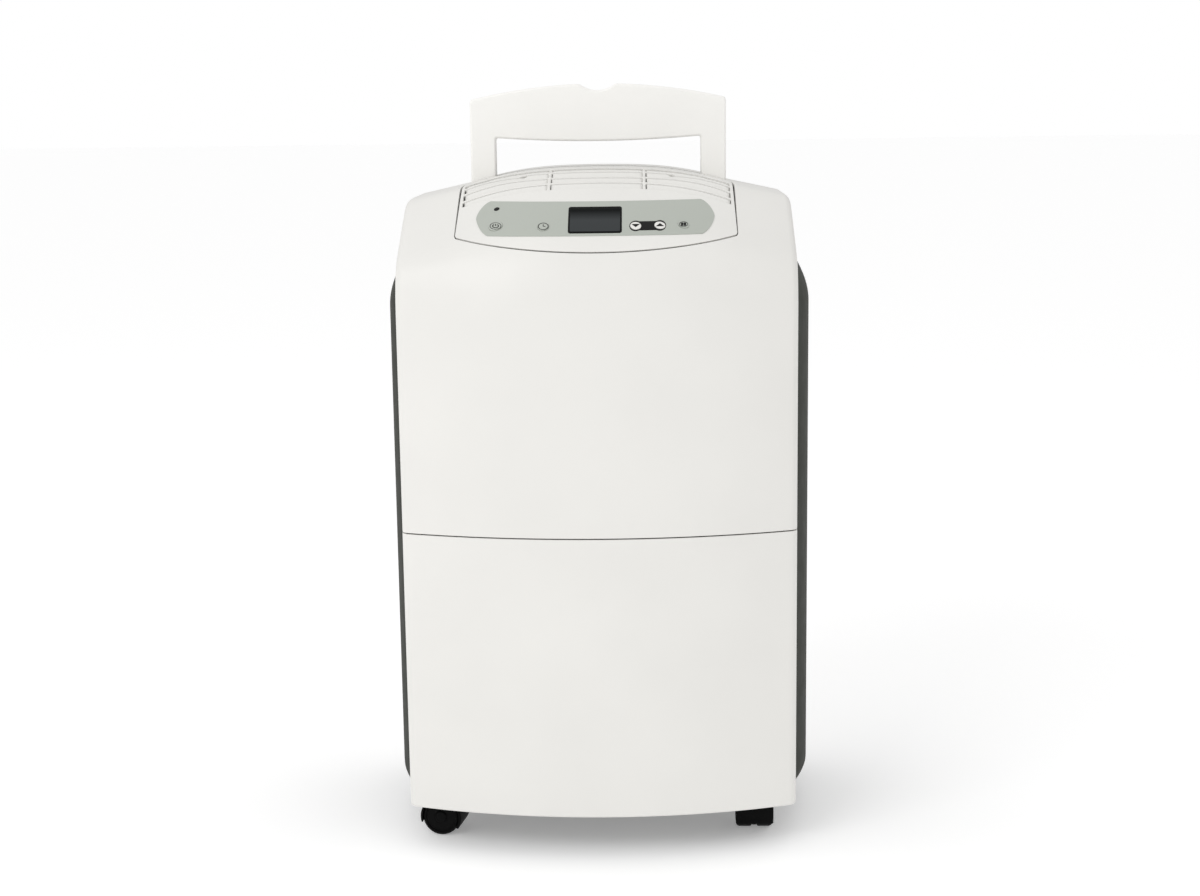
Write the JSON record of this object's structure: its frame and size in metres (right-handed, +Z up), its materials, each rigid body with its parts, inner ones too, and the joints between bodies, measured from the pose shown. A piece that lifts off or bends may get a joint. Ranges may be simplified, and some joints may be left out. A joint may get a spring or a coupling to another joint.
{
  "type": "dehumidifier",
  "caption": "Upright portable dehumidifier with a bulged front, pull-up handle, sloped control panel, pull-out water bucket and swivel casters.",
  "frame": {"origin": "bottom centre of the whole object, on the floor under the casters", "axes": "+X to the viewer's right, front faces -Y, +Z up"},
  "size_m": [0.41, 0.28, 0.7247],
  "materials": {
    "white_shell": "satin moulded",
    "grey_side": "fine texture",
    "overlay_grey": "printed film",
    "display_glass": "clear over black",
    "inner_plastic": "plain moulded",
    "black_plastic": "satin",
    "led_lens": "tinted",
    "circuit_board": "solder mask",
    "bucket_plastic": "translucent",
    "black_enamel": "baked enamel",
    "rubber": "moulded",
    "coil_fins": "bare",
    "copper": "bare copper",
    "fan_plastic": "moulded",
    "steel": "plain",
    "filter_net": "fine net",
    "caster_tread": "nylon"
  },
  "bodies": {
    "cabinet": {"base_pan": "grey_side", "front_cover": "white_shell", "rear_cover": "white_shell", "side_panel_left": "grey_side", "side_panel_right": "grey_side", "top_panel": "white_shell", "panel_overlay": "overlay_grey", "display_window": "display_glass", "lcd_module": "inner_plastic", "arrow_band": "black_plastic", "status_led": "led_lens", "control_board": "circuit_board", "handle_guides": "inner_plastic", "bay_cheeks": "white_shell", "bay_wall": "inner_plastic", "mid_deck": "inner_plastic", "reed_switch": "black_plastic", "compressor": "black_enamel", "compressor_feet": "rubber", "accumulator": "black_enamel", "evaporator": "coil_fins", "condenser": "coil_fins", "refrigerant_pipes": "copper", "filter_drier": "copper", "fan_scroll": "inner_plastic", "fan_motor": "steel", "motor_bracket": "steel", "run_capacitor": "inner_plastic", "main_board": "circuit_board", "humidity_sensor": "white_shell", "drain_spigot": "black_plastic", "cord_gland": "black_plastic", "cabinet_screws": "steel"},
    "water_bucket": {"bucket": "bucket_plastic", "bucket_front": "white_shell", "bucket_lid": "inner_plastic"},
    "level_float": {"float_arm": "inner_plastic", "float_block": "inner_plastic"},
    "carry_handle": {"handle": "white_shell"},
    "dust_filter": {"intake_grille": "white_shell", "filter_mesh": "filter_net"},
    "blower": {"fan_wheel": "fan_plastic", "fan_shaft": "steel"},
    "power_button": {"button_power": "overlay_grey"},
    "timer_button": {"button_timer": "overlay_grey"},
    "down_button": {"button_down": "white_shell"},
    "up_button": {"button_up": "white_shell"},
    "fan_button": {"button_fan": "overlay_grey"},
    "caster_fl": {"caster_fl_fork": "black_plastic"},
    "caster_fl_rollers": {"caster_fl_axle": "steel", "caster_fl_wheels": "caster_tread"},
    "caster_fr": {"caster_fr_fork": "black_plastic"},
    "caster_fr_rollers": {"caster_fr_axle": "steel", "caster_fr_wheels": "caster_tread"},
    "caster_rl": {"caster_rl_fork": "black_plastic"},
    "caster_rl_rollers": {"caster_rl_axle": "steel", "caster_rl_wheels": "caster_tread"},
    "caster_rr": {"caster_rr_fork": "black_plastic"},
    "caster_rr_rollers": {"caster_rr_axle": "steel", "caster_rr_wheels": "caster_tread"}
  },
  "joints": [
    {"name": "handle_slide", "type": "slide", "parent": "cabinet", "child": "carry_handle", "axis": [0, 0, 1], "range_m": [-0.082, 0]},
    {"name": "bucket_slide", "type": "slide", "parent": "cabinet", "child": "water_bucket", "axis": [0, -1, 0], "range_m": [0, 0.18]},
    {"name": "float_hinge", "type": "hinge", "parent": "water_bucket", "child": "level_float", "pos_m": [0.118, 0.004, 0.279], "axis": [-1, 0, 0], "range_deg": [0, 12]},
    {"name": "filter_slide", "type": "slide", "parent": "cabinet", "child": "dust_filter", "axis": [0, 1, 0], "range_m": [0, 0.06]},
    {"name": "blower_spin", "type": "hinge", "parent": "cabinet", "child": "blower", "pos_m": [0, 0, 0.412], "axis": [0, 1, 0], "continuous": true},
    {"name": "power_press", "type": "slide", "parent": "cabinet", "child": "power_button", "axis": [0, 0.5446, -0.8387], "range_m": [0, 0.0008], "stiffness_N_per_m": 400, "springref_m": -0.0005},
    {"name": "timer_press", "type": "slide", "parent": "cabinet", "child": "timer_button", "axis": [0, 0.6691, -0.7431], "range_m": [0, 0.0008], "stiffness_N_per_m": 400, "springref_m": -0.0005},
    {"name": "down_press", "type": "slide", "parent": "cabinet", "child": "down_button", "axis": [0, 0.6947, -0.7193], "range_m": [0, 0.0008], "stiffness_N_per_m": 400, "springref_m": -0.0005},
    {"name": "up_press", "type": "slide", "parent": "cabinet", "child": "up_button", "axis": [0, 0.6691, -0.7431], "range_m": [0, 0.0008], "stiffness_N_per_m": 400, "springref_m": -0.0005},
    {"name": "fan_press", "type": "slide", "parent": "cabinet", "child": "fan_button", "axis": [0, 0.5878, -0.809], "range_m": [0, 0.0008], "stiffness_N_per_m": 400, "springref_m": -0.0005},
    {"name": "caster_fl_swivel", "type": "hinge", "parent": "cabinet", "child": "caster_fl", "pos_m": [-0.148, -0.066, 0.03], "axis": [0, 0, 1], "continuous": true},
    {"name": "caster_fl_roll", "type": "hinge", "parent": "caster_fl", "child": "caster_fl_rollers", "pos_m": [-0.15686, -0.06444, 0.0185], "axis": [-0.1736, -0.9848, 0], "continuous": true},
    {"name": "caster_fr_swivel", "type": "hinge", "parent": "cabinet", "child": "caster_fr", "pos_m": [0.148, -0.066, 0.03], "axis": [0, 0, 1], "continuous": true},
    {"name": "caster_fr_roll", "type": "hinge", "parent": "caster_fr", "child": "caster_fr_rollers", "pos_m": [0.148, -0.057, 0.0185], "axis": [-1, 0, 0], "continuous": true},
    {"name": "caster_rl_swivel", "type": "hinge", "parent": "cabinet", "child": "caster_rl", "pos_m": [-0.148, 0.092, 0.03], "axis": [0, 0, 1], "continuous": true},
    {"name": "caster_rl_roll", "type": "hinge", "parent": "caster_rl", "child": "caster_rl_rollers", "pos_m": [-0.15033, 0.10069, 0.0185], "axis": [-0.9659, -0.2588, 0], "continuous": true},
    {"name": "caster_rr_swivel", "type": "hinge", "parent": "cabinet", "child": "caster_rr", "pos_m": [0.148, 0.092, 0.03], "axis": [0, 0, 1], "continuous": true},
    {"name": "caster_rr_roll", "type": "hinge", "parent": "caster_rr", "child": "caster_rr_rollers", "pos_m": [0.15033, 0.10069, 0.0185], "axis": [-0.9659, 0.2588, 0], "continuous": true}
  ]
}
